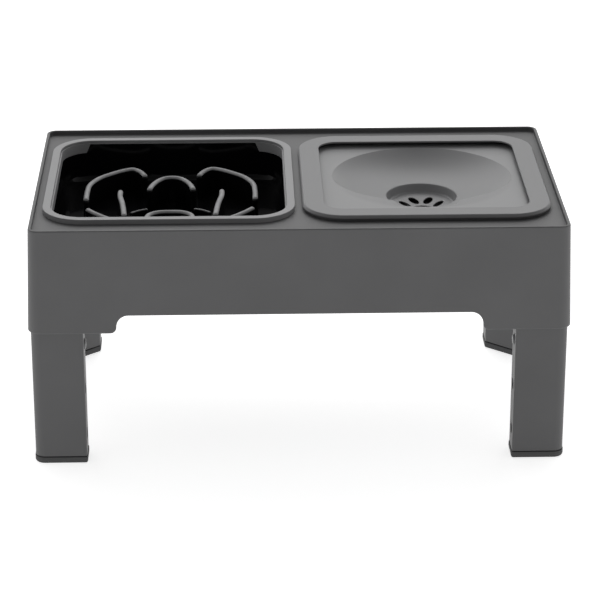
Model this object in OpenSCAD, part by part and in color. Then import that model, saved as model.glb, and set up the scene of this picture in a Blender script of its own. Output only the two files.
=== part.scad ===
// Raised pet feeder: a skirted tray on four folding, telescoping legs,
// with a maze bowl on the left and a no-spill water bowl on the right.
// Millimetres. The origin is on the floor under the middle of the tray,
// +X to the right, -Y towards the front, +Z up. The legs stand unfolded and pushed in.

/* [Tray] */
// Length of the tray along its top edge
tray_length = 425; // [415:1:540]
// Depth of the tray along its top edge, front to back
tray_depth = 250; // [245:1:320]
// Height of the tray's top edge above the floor, legs pushed in
standing_height = 200; // [180:1:245]
// Height of the skirt at the corners
skirt_height = 85.5; // [82:0.5:110]
// How far the skirt's bottom edge flares out on each side
skirt_flare = 3; // [0:0.5:5]
// Thickness of the skirt
skirt_wall = 1.8; // [1.6:0.1:2.6]
// Corner radius at the tray's top edge
tray_corner = 8; // [5:1:14]
// Width of the raised lip round the deck
lip_width = 2.6; // [2:0.2:4]
// How far the deck lies below the lip
deck_drop = 3.7; // [3:0.1:6]
// Thickness of the deck
deck_thickness = 2.4; // [2:0.1:3.5]
// Height of the cut-out under the middle of each side
cutout_height = 14.8; // [14.6:0.2:20]
// Radius of the cut-out's upper corners
cutout_fillet = 9.6; // [5:0.2:9.8]
// Radius of the skirt's corners beside the cut-out
cutout_rounding = 4.9; // [2:0.1:4.9]
// Length of full-height skirt left at each end of a side
corner_length = 70.5; // [60:0.5:90]
// Height of the collar under each bowl opening
collar_height = 8; // [4:0.5:12]

/* [Bowls] */
// Outer size of the slow bowl's frame ring
frame_size = 201.5; // [195:0.5:203]
// Outer size of the splash ring
splash_size = 199.6; // [195:0.2:203]
// Gap between the two rims over the middle of the tray
rim_gap = 6; // [4:0.5:20]
// Corner radius of both rims
rim_corner = 33; // [28:1:38]
// Size of the bowls' walls outside, just under the flange
bowl_size = 194.4; // [180:0.2:195]
// Play between a bowl and its opening, on each side
bowl_play = 0.5; // [0.3:0.1:1]
// Thickness of the bowls' walls
bowl_wall = 1.8; // [1.6:0.1:2.6]
// Thickness of the bowls' flanges
flange_thickness = 2; // [1.6:0.1:3]
// Depth of the slow bowl below its flange
slow_depth = 34.8; // [30:0.2:38]
// Depth of the water bowl below its flange
water_depth = 30.8; // [28:0.2:38]
// Thickness of the bowls' floors
bowl_floor = 2.4; // [2:0.1:3.5]

/* [Slow bowl] */
// Height of the tall ridges above the bowl's floor
ridge_height = 22; // [16:0.5:26]
// Height of the two low ridges above the bowl's floor
low_ridge_height = 14; // [10:0.5:16]
// Thickness of the tall ridges
ridge_width = 4.6; // [3:0.2:6]
// Thickness of the low ridges
low_ridge_width = 2.6; // [2:0.2:4]
// Width of the frame ring's flat top
frame_width = 6.4; // [5:0.2:8]
// Depth of the grey band that hangs inside the bowl
band_depth = 8.6; // [6:0.2:12]
// Length of the gap in that band, front and back
band_gap = 146; // [100:1:150]

/* [Water bowl] */
// Width of the splash ring's flat flange
splash_width = 17.4; // [14:0.2:22]
// Thickness of the splash ring's lip
splash_lip = 1.5; // [1.2:0.1:2.5]
// Size of the square floating disc
disc_size = 172; // [168:1:174]
// Thickness of the disc's shell
disc_shell = 2; // [1.6:0.1:2.6]
// Depth of the disc's outer edge
disc_edge = 8; // [5:0.5:12]
// Radius of the round dish in the disc
dish_radius = 74.4; // [60:0.2:78]
// Depth of the dish at the edge of its sump
dish_depth = 16.4; // [10:0.1:18]
// How full the dish's curve is: 2 is a shallow cone-like bowl, 4 is flat with steep sides
dish_fullness = 2.8; // [2:0.1:4]
// Radius of the sump in the middle of the dish
sump_radius = 30; // [22:0.2:34]
// Depth of the sump below its edge
sump_depth = 6.9; // [5:0.1:8]
// Play under the splash ring's lip when the disc floats right up
disc_play = 0.3; // [0.2:0.1:1]

/* [Legs] */
// Width of a leg, both ways
leg_size = 41.8; // [36:0.2:46]
// Depth of a leg's face that looks along the tray
leg_side = 21.5; // [18:0.5:26]
// Width of a leg's back face beyond the slanted one
leg_back = 17.5; // [12:0.5:22]
// Radius of a leg's outer corner
leg_corner = 8; // [5:0.5:11]
// Thickness of the outer leg's wall
sleeve_wall = 2.4; // [2:0.1:3]
// Play between outer and inner leg, on each side
slide_play = 0.35; // [0.2:0.05:0.6]
// Thickness of the inner leg's wall
inner_wall = 2.2; // [1.8:0.1:3]
// Distance between the holes for the snap button
hole_spacing = 39; // [30:0.5:44]
// Diameter of those holes
hole_bore = 9.5; // [8:0.1:12]
// Height of the lowest hole above the floor
lowest_hole = 22; // [18:0.5:30]
// Height of the hinge above the skirt's bottom edge
hinge_rise = 22; // [21.5:0.5:24]
// Diameter of the hinge pin
pin_bore = 5; // [4:0.1:6]
// Radial play of the hinge pin
pin_play = 0.05; // [0.03:0.01:0.1]
// Play between the leg's head and the tray, front and back
head_play = 0.5; // [0.3:0.1:1]

/* [Feet] */
// Height of the foot cap's sole
cap_height = 5.3; // [4:0.1:8]
// Gap between foot cap and outer leg
cap_gap = 0.6; // [0.3:0.1:1.2]
// How far the foot cap stands proud of the outer leg
cap_proud = 0.5; // [0.3:0.1:1]
// Height of the cap's plug inside the inner leg
plug_height = 11; // [8:0.5:13]

/* [Snap button] */
// Play of the snap button in its hole
button_play = 0.3; // [0.2:0.05:0.4]
// How far the button stands out of the leg
button_proud = 1.4; // [1:0.1:2.5]
// Thickness of the button's spring leaf
leaf_thickness = 1.2; // [1:0.1:1.8]
// Width of the button's spring leaf
leaf_width = 8; // [6:0.5:10]
// Length of the button's spring leaf
leaf_length = 30; // [24:1:36]

/* [Hidden] */
$fn = 64;
eps = 0.02;
cut = 60;

grey = [0.33, 0.33, 0.34];
light_grey = [0.55, 0.55, 0.56];
black = [0.04, 0.04, 0.045];

// Levels of the tray
skirt_z = standing_height - skirt_height;
deck_z = standing_height - deck_drop;
deck_under = deck_z - deck_thickness;
seat_gap = 0.05;
flange_z = deck_z + seat_gap;
flange_top = flange_z + flange_thickness;
draft = skirt_flare / skirt_height;

// The skirt's outer half size grows downwards from the top edge
function half_x(z) = tray_length / 2 + draft * (standing_height - z);
function half_y(z) = tray_depth / 2 + draft * (standing_height - z);

// The rings, the disc and its dish follow the bowls when those grow or shrink
standard_bowl = 194.4;
bowl_growth = bowl_size - standard_bowl;
frame_side = frame_size + bowl_growth;
splash_side = splash_size + bowl_growth;
disc_side = disc_size + bowl_growth;
dish_reach = dish_radius + bowl_growth / 2;

// Bowls
bowl_x = (frame_side / 2 + splash_side / 2 + rim_gap) / 2;
wall_corner = rim_corner - (frame_side - bowl_size) / 2;
opening_size = bowl_size + 2 * bowl_play;
opening_corner = wall_corner + bowl_play;
flange_inset = 1.1;
slow_bottom = flange_z - slow_depth;
slow_floor = slow_bottom + bowl_floor;
water_bottom = flange_z - water_depth;
water_floor = water_bottom + bowl_floor;
wall_taper = 4;

// Frame ring of the slow bowl
frame_gap = 0.3;
frame_top = flange_top + seat_gap + 2;
band_wall = 1.1;
inner_size = bowl_size - 2 * bowl_wall;
band_z = flange_top - band_depth;
band_size = inner_size - 2 * frame_gap - wall_taper * (band_depth + 1) / 30;

// Splash ring and floating disc
splash_under = flange_top + seat_gap;
splash_top = splash_under + 2.9;
lip_under = splash_top - splash_lip;
splash_hole = splash_side - 2 * splash_width;
splash_hole_corner = rim_corner - splash_width;
locating_rib = 1.6;
locating_depth = 1.6;
disc_top = deck_z;
disc_lift = lip_under - disc_top - disc_play;
disc_corner = splash_hole_corner + 4;
disc_shift = [1.2, 5.4];
sump_edge_z = disc_top - dish_depth;
sump_floor_z = sump_edge_z - sump_depth;
dish_full_depth = dish_depth / (1 - pow(sump_radius / dish_reach, dish_fullness));
// Each toe hole: its middle, its turn, its width and its length
toes = [
    [-14, -1.5, 30, 5.5, 16.5], [-6, 6.5, 18, 7, 17],
    [6, 6.5, -18, 7, 17], [14, -1.5, -30, 5.5, 16.5]
];
pad_y = -12;
pad_width = 18;
pad_length = 13;

// Legs: the corner that points along +X and +Y is drawn, the others are its mirror images
leg_out_x = half_x(skirt_z) - 2;
leg_in_x = leg_out_x - leg_size;
leg_out_y = half_y(skirt_z) - skirt_flare - 1.1;
leg_in_y = leg_out_y - leg_size;
edge_radius = 1.5;
sleeve_bottom = cap_height + cap_gap;
sleeve_top = skirt_z - 0.6;
hinge_x = leg_out_x - leg_size / 2;
hinge_z = skirt_z + hinge_rise;
head_radius = leg_size / 2 - 0.9;
head_inset = 0.9;
head_rounding = 7;
boss_radius = 5.5;
inner_inset = sleeve_wall + slide_play;
inner_top = sleeve_top - 1.5;
button_z = lowest_hole + 2 * hole_spacing;
button_y = leg_out_y - leg_side / 2;
button_radius = hole_bore / 2 - button_play;
button_travel = button_proud + inner_inset + 0.2;

// Hinge seats in the tray
seat_radius = 6.5;
lug_thickness = 2.5;
lug_out_y = leg_in_y - head_play;
lug_in_y = lug_out_y - lug_thickness;
lug_reach = hinge_x - 10;
lug_low = skirt_z + 8;
lug_mid = min(slow_bottom, water_bottom) - 2.5;
pin_end_y = half_y(hinge_z) - 1.2;
seat_y = leg_out_y - head_inset + 0.3;
pin_head_radius = 4.5;
pin_head = 2;

// Ridges of the maze, as points about the bowl's middle
long_ridge = [
    [-69.5, -10], [-69.5, 8], [-68, 26], [-61, 42], [-50, 54],
    [-40, 62], [-33, 64], [-27, 58], [-23, 48]
];
front_ridge = [[-66.5, -35], [-60, -44], [-50, -55], [-40, -62], [-33, -64], [-27, -60]];
back_arch = [
    [-18, 14], [-15.8, 24], [-12.2, 33], [-7, 40], [0, 42.5],
    [7, 40], [12.2, 33], [15.8, 24], [18, 14]
];
front_arch = [[-19, -57], [-17, -48], [-10, -42], [0, -41], [10, -42], [17, -48], [19, -57]];
side_ridge = [[-42, 8], [-41.8, -3], [-40, -15], [-38.4, -29], [-37, -47]];
low_ridge = [[-32, -23], [-26, -18], [-20, -15]];

// A rounded rectangle about the origin
module rounded(length, depth, radius) {
    offset(r = radius) square([length - 2 * radius, depth - 2 * radius], center = true);
}

// A square plate with rounded corners, from level z_low to z_high
module square_plate(size, radius, z_low, z_high) {
    translate([0, 0, z_low]) linear_extrude(z_high - z_low) rounded(size, size, radius);
}

// Points of a smooth curve through a short list of points
function curve_point(p, i, t) =
    let(a = p[max(i - 1, 0)], b = p[i], c = p[i + 1], d = p[min(i + 2, len(p) - 1)])
    0.5 * ((2 * b) + (c - a) * t + (2 * a - 5 * b + 4 * c - d) * t * t
        + (3 * b - a - 3 * c + d) * t * t * t);
function curve(p, steps = 4) = concat(
    [for (i = [0:len(p) - 2], s = [0:steps - 1]) curve_point(p, i, s / steps)],
    [p[len(p) - 1]]
);
function unit(v) = v / norm(v);
function across(p, i) =
    let(v = unit(p[min(i + 1, len(p) - 1)] - p[max(i - 1, 0)])) [-v[1], v[0]];

// Points of the half turn round one end of a ridge
function end_turn(p, i, half, way) =
    let(n = way * across(p, i), v = [n[1], -n[0]])
    [for (k = [1:7]) p[i] + half * (cos(22.5 * k) * n + sin(22.5 * k) * v)];

// A wall of even thickness along a curve, with round ends
module ridge(points, height, width) {
    path = curve(points);
    half = width / 2;
    last = len(path) - 1;
    left = [for (i = [0:last]) path[i] + half * across(path, i)];
    right = [for (i = [last:-1:0]) path[i] - half * across(path, i)];
    outline = concat(left, end_turn(path, last, half, 1), right, end_turn(path, 0, half, -1));
    translate([0, 0, slow_floor - 1]) linear_extrude(height + 1) polygon(outline);
}

// A drafted tub with rounded corners and a rounded foot
module tub(size, radius, z_low, z_high, foot) {
    taper = wall_taper * (z_high - z_low) / 30;
    hull() {
        square_plate(size - taper - 2 * foot, radius - foot * 0.6, z_low, z_low + eps);
        square_plate(size - taper - foot * 0.6, radius - foot * 0.2,
            z_low + foot * 0.3, z_low + foot * 0.3 + eps);
        square_plate(size - taper, radius, z_low + foot, z_low + foot + eps);
        square_plate(size, radius, z_high - eps, z_high);
    }
}

// The cut-out's outline under one side, open at the bottom
module cutout_outline(length) {
    offset(r = cutout_fillet) offset(delta = -cutout_fillet)
        offset(r = -cutout_rounding) offset(delta = cutout_rounding) union() {
            translate([-length / 2, skirt_z - cut]) square([length, cut + cutout_height]);
            translate([-length, skirt_z - cut]) square([2 * length, cut - eps]);
        }
}

module corners() {
    for (x = [0, 1], y = [0, 1]) mirror([x, 0, 0]) mirror([0, y, 0]) children();
}

// Boss and lug that carry one hinge pin, with the bores still to be cut
module hinge_seat() {
    wall_y = half_y(hinge_z);
    translate([hinge_x, seat_y, hinge_z]) rotate([-90, 0, 0])
        cylinder(r = seat_radius, h = wall_y - skirt_wall - seat_y + 0.6);
    wall_x = half_x(hinge_z) - skirt_wall + 0.5;
    translate([lug_reach, lug_in_y, lug_low])
        cube([wall_x - lug_reach, lug_thickness, lug_mid - lug_low]);
    shelf_x = bowl_x + opening_size / 2 + 1.5;
    upper_x = half_x(deck_under) - skirt_wall + 0.5;
    translate([shelf_x, lug_in_y, lug_mid - eps])
        cube([upper_x - shelf_x, lug_thickness, deck_under - lug_mid + 0.5]);
}

module tray() {
    color(grey) difference() {
        union() {
            difference() {
                hull() {
                    translate([0, 0, skirt_z]) linear_extrude(eps)
                        rounded(2 * half_x(skirt_z), 2 * half_y(skirt_z), tray_corner + skirt_flare);
                    translate([0, 0, standing_height - eps]) linear_extrude(eps)
                        rounded(tray_length, tray_depth, tray_corner);
                }
                hull() {
                    translate([0, 0, skirt_z - eps]) linear_extrude(eps)
                        rounded(2 * half_x(skirt_z) - 2 * skirt_wall, 2 * half_y(skirt_z) - 2 * skirt_wall,
                            tray_corner + skirt_flare - skirt_wall);
                    translate([0, 0, deck_under - eps]) linear_extrude(eps)
                        rounded(2 * half_x(deck_under) - 2 * skirt_wall,
                            2 * half_y(deck_under) - 2 * skirt_wall,
                            tray_corner + 0.2 - skirt_wall);
                }
                translate([0, 0, deck_z]) linear_extrude(cut)
                    rounded(tray_length - 2 * lip_width, tray_depth - 2 * lip_width, tray_corner - lip_width);
                rotate([90, 0, 0]) linear_extrude(2 * tray_depth, center = true)
                    cutout_outline(2 * (half_x(skirt_z) - corner_length));
                rotate([90, 0, 90]) linear_extrude(2 * tray_length, center = true)
                    cutout_outline(2 * (half_y(skirt_z) - corner_length));
            }
            corners() hinge_seat();
            for (side = [-1, 1]) translate([side * bowl_x, 0, 0])
                square_plate(opening_size + 2 * skirt_wall, opening_corner + skirt_wall,
                    deck_under - collar_height, deck_z - eps);
        }
        for (side = [-1, 1]) translate([side * bowl_x, 0, 0])
            square_plate(opening_size, opening_corner, deck_under - collar_height - 1, standing_height);
        corners() translate([hinge_x, lug_in_y - 1, hinge_z]) rotate([-90, 0, 0])
            cylinder(d = pin_bore + 2 * pin_play, h = pin_end_y + 0.2 - lug_in_y + 1);
    }
}

module slow_feeder_bowl() {
    color(black) translate([-bowl_x, 0, 0]) {
        difference() {
            union() {
                tub(bowl_size, wall_corner, slow_bottom, flange_z + eps, 6);
                square_plate(frame_side - 2 * flange_inset, rim_corner - flange_inset, flange_z, flange_top);
            }
            tub(inner_size, wall_corner - bowl_wall, slow_floor, flange_top + 1, 6);
        }
        intersection() {
            union() {
                for (side = [0, 1]) mirror([side, 0, 0]) {
                    ridge(long_ridge, ridge_height, ridge_width);
                    ridge(front_ridge, ridge_height, ridge_width);
                    ridge(side_ridge, ridge_height, ridge_width);
                    ridge(low_ridge, low_ridge_height, low_ridge_width);
                }
                ridge(back_arch, ridge_height, ridge_width);
                ridge(front_arch, ridge_height, ridge_width);
            }
            square_plate(inner_size - 3 * wall_taper, rim_corner, slow_bottom + 1, band_z);
        }
    }
}

module bowl_frame_ring() {
    hole = frame_side - 2 * frame_width;
    color(light_grey) translate([-bowl_x, 0, 0]) {
        difference() {
            square_plate(frame_side, rim_corner, flange_z + seat_gap, frame_top);
            square_plate(hole, rim_corner - frame_width, flange_z - 1, frame_top + 1);
            square_plate(frame_side - 2 * flange_inset + 2 * frame_gap,
                rim_corner - flange_inset + frame_gap, flange_z - 1, flange_top + seat_gap);
        }
        difference() {
            square_plate(band_size, wall_corner - bowl_wall - frame_gap,
                band_z + seat_gap, flange_top + seat_gap + eps);
            square_plate(band_size - 2 * band_wall, wall_corner - bowl_wall - frame_gap - band_wall,
                band_z - 1, frame_top + 1);
            translate([-band_gap / 2, -frame_side, band_z - 1])
                cube([band_gap, 2 * frame_side, flange_top - band_z + 1 - 0.8]);
        }
    }
}

module water_bowl() {
    color(grey) translate([bowl_x, 0, 0]) difference() {
        union() {
            tub(bowl_size, wall_corner, water_bottom, flange_z + eps, 5);
            square_plate(splash_side - 2 * flange_inset, rim_corner - flange_inset, flange_z, flange_top);
        }
        tub(bowl_size - 2 * bowl_wall, wall_corner - bowl_wall, water_floor, flange_top + 1, 5);
    }
}

module splash_ring() {
    rib_size = bowl_size - 2 * bowl_wall - 2 * frame_gap;
    rib_corner = wall_corner - bowl_wall - frame_gap;
    color(light_grey) translate([bowl_x, 0, 0]) {
        difference() {
            square_plate(splash_side, rim_corner, splash_under, splash_top);
            square_plate(splash_hole, splash_hole_corner, splash_under - 1, splash_top + 1);
            square_plate(rib_size - 2 * locating_rib, rib_corner - locating_rib, splash_under - 1, lip_under);
        }
        difference() {
            square_plate(rib_size, rib_corner, splash_under - locating_depth, splash_under + eps);
            square_plate(rib_size - 2 * locating_rib, rib_corner - locating_rib,
                splash_under - locating_depth - 1, lip_under);
        }
    }
}

// Half section of the disc's dish and sump, lowered by drop
function dish_line(drop) = concat(
    [[0, sump_floor_z - drop], [sump_radius - 3, sump_floor_z - drop],
        [sump_radius - 1, sump_edge_z - 1 - drop]],
    [for (i = [0:16])
        let(r = sump_radius + (dish_reach - sump_radius) * i / 16)
        [r, disc_top - dish_full_depth * (1 - pow(r / dish_reach, dish_fullness)) - drop]],
    [[disc_side, disc_top - drop]]
);

module paw_cuts() {
    for (toe = toes) translate([toe[0], toe[1]]) rotate(toe[2])
        scale([toe[3] / toe[4], 1]) circle(d = toe[4], $fn = 32);
    translate([0, pad_y]) scale([1, pad_length / pad_width]) circle(d = pad_width, $fn = 32);
}

module floating_disc() {
    line = dish_line(0);
    under = dish_line(disc_shell);
    reversed = [for (i = [len(under) - 1:-1:0]) under[i]];
    color(light_grey) translate([bowl_x + disc_shift[0], disc_shift[1], 0]) difference() {
        union() {
            intersection() {
                rotate_extrude($fn = 96) polygon(concat(line, reversed));
                square_plate(disc_side, disc_corner, 0, 2 * standing_height);
            }
            difference() {
                square_plate(disc_side, disc_corner, disc_top - disc_edge, disc_top - eps);
                square_plate(disc_side - 2 * disc_shell, disc_corner - disc_shell,
                    disc_top - disc_edge - 1, disc_top + 1);
            }
            for (turn = [45:90:315]) rotate(turn) translate([sump_radius - 6, 0, water_floor + seat_gap])
                cylinder(d = 6, h = sump_floor_z - disc_shell - water_floor + 0.5, $fn = 32);
        }
        translate([0, 0, sump_floor_z - 3 * disc_shell]) linear_extrude(6 * disc_shell) paw_cuts();
    }
}

// Outline of a leg seen from above, drawn in by inset
module leg_outline(inset) {
    r = edge_radius;
    offset(delta = -inset) hull() {
        translate([leg_out_x - leg_corner, leg_out_y - leg_corner]) circle(r = leg_corner, $fn = 48);
        translate([leg_in_x + r, leg_out_y - r]) circle(r = r, $fn = 24);
        translate([leg_in_x + r, leg_out_y - leg_side + r / 2]) circle(r = r, $fn = 24);
        translate([leg_out_x - leg_back, leg_in_y + r]) circle(r = r, $fn = 24);
        translate([leg_out_x - r, leg_in_y + r]) circle(r = r, $fn = 24);
    }
}

// The head's outline seen from the front, drawn in by inset
module head_outline(inset) {
    r = head_radius - inset;
    translate([hinge_x, hinge_z]) circle(r = r);
    translate([hinge_x - r, sleeve_top - 3]) square([2 * r, hinge_z - sleeve_top + 3]);
}

// The space the head may turn in, rounded at its outer end, drawn in by inset
module head_turning(inset) {
    r = head_radius - inset;
    end_y = leg_out_y - head_inset - inset;
    c = head_rounding - inset;
    translate([hinge_x, 0, hinge_z]) rotate([-90, 0, 0]) rotate_extrude() polygon(concat(
        [[0, leg_in_y], [r, leg_in_y]],
        [for (turn = [0:15:90]) [r - c + c * cos(turn), end_y - c + c * sin(turn)]],
        [[0, end_y]]
    ));
    translate([hinge_x - r, leg_in_y, sleeve_top - 3])
        cube([2 * r, end_y - leg_in_y, hinge_z - sleeve_top + 3]);
}

// The leg's hinge head, solid, drawn in by inset
module head_block(inset) {
    intersection() {
        rotate([90, 0, 0]) linear_extrude(2 * tray_depth, center = true) head_outline(inset);
        translate([0, 0, sleeve_top - 2]) linear_extrude(cut) leg_outline(head_inset + inset);
        head_turning(inset);
    }
}

module outer_leg(x, y) {
    color(grey) mirror([x, 0, 0]) mirror([0, y, 0]) difference() {
        union() {
            difference() {
                union() {
                    translate([0, 0, sleeve_bottom])
                        linear_extrude(sleeve_top - sleeve_bottom) leg_outline(0);
                    head_block(0);
                }
                translate([0, 0, sleeve_bottom - 1]) linear_extrude(sleeve_top - sleeve_bottom)
                    leg_outline(sleeve_wall);
                head_block(sleeve_wall);
            }
            translate([hinge_x, leg_in_y + 0.1, hinge_z]) rotate([-90, 0, 0])
                cylinder(r = boss_radius, h = leg_size - head_inset - 0.2);
        }
        translate([hinge_x, leg_in_y - 1, hinge_z]) rotate([-90, 0, 0])
            cylinder(d = pin_bore + 2 * pin_play, h = leg_size + 2);
        for (step = [0:2]) translate([leg_in_x - 1, button_y, lowest_hole + step * hole_spacing])
            rotate([0, 90, 0]) cylinder(d = hole_bore, h = sleeve_wall + 2);
    }
}

module inner_leg(x, y) {
    color(grey) mirror([x, 0, 0]) mirror([0, y, 0]) difference() {
        translate([0, 0, cap_height]) linear_extrude(inner_top - cap_height) leg_outline(inner_inset);
        translate([0, 0, cap_height - 1]) linear_extrude(inner_top - cap_height - inner_wall + 1)
            leg_outline(inner_inset + inner_wall);
        translate([leg_in_x - 1, button_y, button_z]) rotate([0, 90, 0])
            cylinder(d = hole_bore, h = inner_inset + inner_wall + 2);
    }
}

module foot_cap(x, y) {
    plug_inset = inner_inset + inner_wall + 0.1;
    color(grey) mirror([x, 0, 0]) mirror([0, y, 0]) {
        hull() {
            linear_extrude(eps) leg_outline(0.6 - cap_proud);
            translate([0, 0, 1.3]) linear_extrude(cap_height - 1.3) leg_outline(-cap_proud);
        }
        translate([0, 0, cap_height - eps]) linear_extrude(plug_height) difference() {
            leg_outline(plug_inset);
            leg_outline(plug_inset + 2);
        }
    }
}

module snap_button(x, y) {
    nose = leg_in_x - button_proud;
    wall_x = leg_in_x + inner_inset + inner_wall;
    far_x = leg_out_x - inner_inset - inner_wall - 0.3;
    leaf = leaf_thickness;
    low_z = button_z - leaf_length;
    color(light_grey) mirror([x, 0, 0]) mirror([0, y, 0]) {
        translate([nose, button_y, button_z]) rotate([0, 90, 0]) {
            cylinder(r1 = button_radius - 1, r2 = button_radius, h = 1);
            translate([0, 0, 1 - eps]) cylinder(r = button_radius, h = wall_x - nose - 1 + leaf / 2);
        }
        translate([0, button_y + leaf_width / 2, 0]) rotate([90, 0, 0]) linear_extrude(leaf_width)
            polygon([
                [wall_x + 0.1, button_z + 5.5], [wall_x + 0.1, button_z - 6],
                [wall_x + 6, low_z], [wall_x + 10, low_z - 2], [far_x, low_z + 6], [far_x, button_z],
                [far_x - leaf, button_z], [far_x - leaf, low_z + 7], [wall_x + 10, low_z - 2 + leaf],
                [wall_x + 7, low_z + leaf], [wall_x + 0.1 + leaf, button_z - 6],
                [wall_x + 0.1 + leaf, button_z + 5.5]
            ]);
    }
}

module hinge_pin(x, y) {
    color("silver") mirror([x, 0, 0]) mirror([0, y, 0])
        translate([hinge_x, 0, hinge_z]) rotate([-90, 0, 0]) {
            translate([0, 0, lug_in_y - 0.05]) cylinder(d = pin_bore, h = pin_end_y - lug_in_y);
            translate([0, 0, lug_in_y - pin_head]) cylinder(r = pin_head_radius, h = pin_head - 0.05);
        }
}

tray();
slow_feeder_bowl();
bowl_frame_ring();
water_bowl();
splash_ring();
floating_disc();
outer_leg(1, 1);  // front_left_outer_leg
outer_leg(0, 1);  // front_right_outer_leg
outer_leg(1, 0);  // back_left_outer_leg
outer_leg(0, 0);  // back_right_outer_leg
inner_leg(1, 1);  // front_left_inner_leg
inner_leg(0, 1);  // front_right_inner_leg
inner_leg(1, 0);  // back_left_inner_leg
inner_leg(0, 0);  // back_right_inner_leg
foot_cap(1, 1);  // front_left_foot_cap
foot_cap(0, 1);  // front_right_foot_cap
foot_cap(1, 0);  // back_left_foot_cap
foot_cap(0, 0);  // back_right_foot_cap
snap_button(1, 1);  // front_left_snap_button
snap_button(0, 1);  // front_right_snap_button
snap_button(1, 0);  // back_left_snap_button
snap_button(0, 0);  // back_right_snap_button
hinge_pin(1, 1);  // front_left_hinge_pin
hinge_pin(0, 1);  // front_right_hinge_pin
hinge_pin(1, 0);  // back_left_hinge_pin
hinge_pin(0, 0);  // back_right_hinge_pin
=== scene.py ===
# Raised pet feeder: a skirted tray on folding legs, a maze bowl and a no-spill water bowl.
import math

import bmesh
import bpy
from mathutils import Matrix, Vector


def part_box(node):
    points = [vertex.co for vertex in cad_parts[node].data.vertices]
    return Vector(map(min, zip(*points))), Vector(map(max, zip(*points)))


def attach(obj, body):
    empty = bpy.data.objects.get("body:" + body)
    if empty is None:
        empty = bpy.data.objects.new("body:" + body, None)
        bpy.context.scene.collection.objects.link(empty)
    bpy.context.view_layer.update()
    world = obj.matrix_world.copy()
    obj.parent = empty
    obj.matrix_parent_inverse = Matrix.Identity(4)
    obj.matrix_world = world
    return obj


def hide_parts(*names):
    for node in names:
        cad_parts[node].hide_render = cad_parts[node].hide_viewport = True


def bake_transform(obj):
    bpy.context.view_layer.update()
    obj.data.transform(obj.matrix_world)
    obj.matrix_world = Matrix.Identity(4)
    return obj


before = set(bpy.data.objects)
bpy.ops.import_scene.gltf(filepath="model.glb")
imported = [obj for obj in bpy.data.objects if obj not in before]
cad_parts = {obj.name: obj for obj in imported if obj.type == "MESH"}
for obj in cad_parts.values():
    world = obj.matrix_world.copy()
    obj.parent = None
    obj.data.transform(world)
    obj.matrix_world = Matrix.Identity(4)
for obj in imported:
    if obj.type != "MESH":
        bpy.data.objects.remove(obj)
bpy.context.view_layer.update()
mm = 0.001


# ---------------------------------------------------------------- studio
# A pale floor that runs out of sight, a soft even surround, a broad soft light above and
# slightly behind the table, and the camera looking down at it from the front.
scene = bpy.context.scene
scene.view_settings.view_transform = "Standard"
scene.view_settings.look = "None"

camera_data = bpy.data.cameras.new("front_camera")
camera_data.lens = 150.65
camera_data.sensor_width = 36
camera_data.clip_end = 50
camera = bpy.data.objects.new("front_camera", camera_data)
camera.location = Vector((-50.13, -1955.0, 889.59)) * mm
camera.rotation_euler = (math.pi / 2 - 0.388418, 0, -0.027347)
scene.collection.objects.link(camera)
scene.camera = camera

world = bpy.data.worlds.new("pale_surround")
scene.world = world
world.use_nodes = True
sky_nodes, sky_links = world.node_tree.nodes, world.node_tree.links
facing = sky_nodes.new("ShaderNodeTexCoord")
axes = sky_nodes.new("ShaderNodeSeparateXYZ")
from_front = sky_nodes.new("ShaderNodeValToRGB")
from_front.color_ramp.elements[0].color = (0.225, 0.225, 0.225, 1)
from_front.color_ramp.elements[1].color = (1.0, 1.0, 1.0, 1)
from_front.color_ramp.elements[0].position = 0.15
from_front.color_ramp.elements[1].position = 0.85
depth = sky_nodes.new("ShaderNodeMapRange")
depth.inputs["From Min"].default_value = -1
height = sky_nodes.new("ShaderNodeMapRange")
height.inputs["From Min"].default_value, height.inputs["From Max"].default_value = 0.25, 0.9
height.inputs["To Min"].default_value, height.inputs["To Max"].default_value = 1.3, 0.5
sky_links.new(facing.outputs["Generated"], axes.inputs["Vector"])
sky_links.new(axes.outputs["Y"], depth.inputs["Value"])
sky_links.new(depth.outputs["Result"], from_front.inputs["Fac"])
sky_links.new(axes.outputs["Z"], height.inputs["Value"])
sky_links.new(from_front.outputs["Color"], sky_nodes["Background"].inputs["Color"])
sky_links.new(height.outputs["Result"], sky_nodes["Background"].inputs["Strength"])


def soft_light(name, place, target, width, depth, watts):
    data = bpy.data.lights.new(name, "AREA")
    data.shape = "RECTANGLE"
    data.size, data.size_y, data.energy = width, depth, watts
    lamp = bpy.data.objects.new(name, data)
    lamp.location = place
    lamp.rotation_euler = (Vector(target) - Vector(place)).to_track_quat("-Z", "Y").to_euler()
    scene.collection.objects.link(lamp)


soft_light("overhead_softbox", (0, 1.35, 1.45), (0, 0, 0.15), 1.9, 0.9, 9.2)

floor_mesh = bpy.data.meshes.new("studio_floor")
floor_mesh.from_pydata([(-30, -30, 0), (30, -30, 0), (30, 30, 0), (-30, 30, 0)], [], [(0, 1, 2, 3)])
floor = bpy.data.objects.new("studio_floor", floor_mesh)
scene.collection.objects.link(floor)
floor_finish = bpy.data.materials.new("pale_floor")
floor_finish.use_nodes = True
floor_shader = floor_finish.node_tree.nodes["Principled BSDF"]
floor_shader.inputs["Base Color"].default_value = (0.93, 0.93, 0.93, 1)
floor_shader.inputs["Roughness"].default_value = 0.9
floor_shader.inputs["Specular IOR Level"].default_value = 0.1
floor_shader.inputs["Emission Color"].default_value = (1, 1, 1, 1)
floor_shader.inputs["Emission Strength"].default_value = 0.72
floor_mesh.materials.append(floor_finish)


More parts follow.
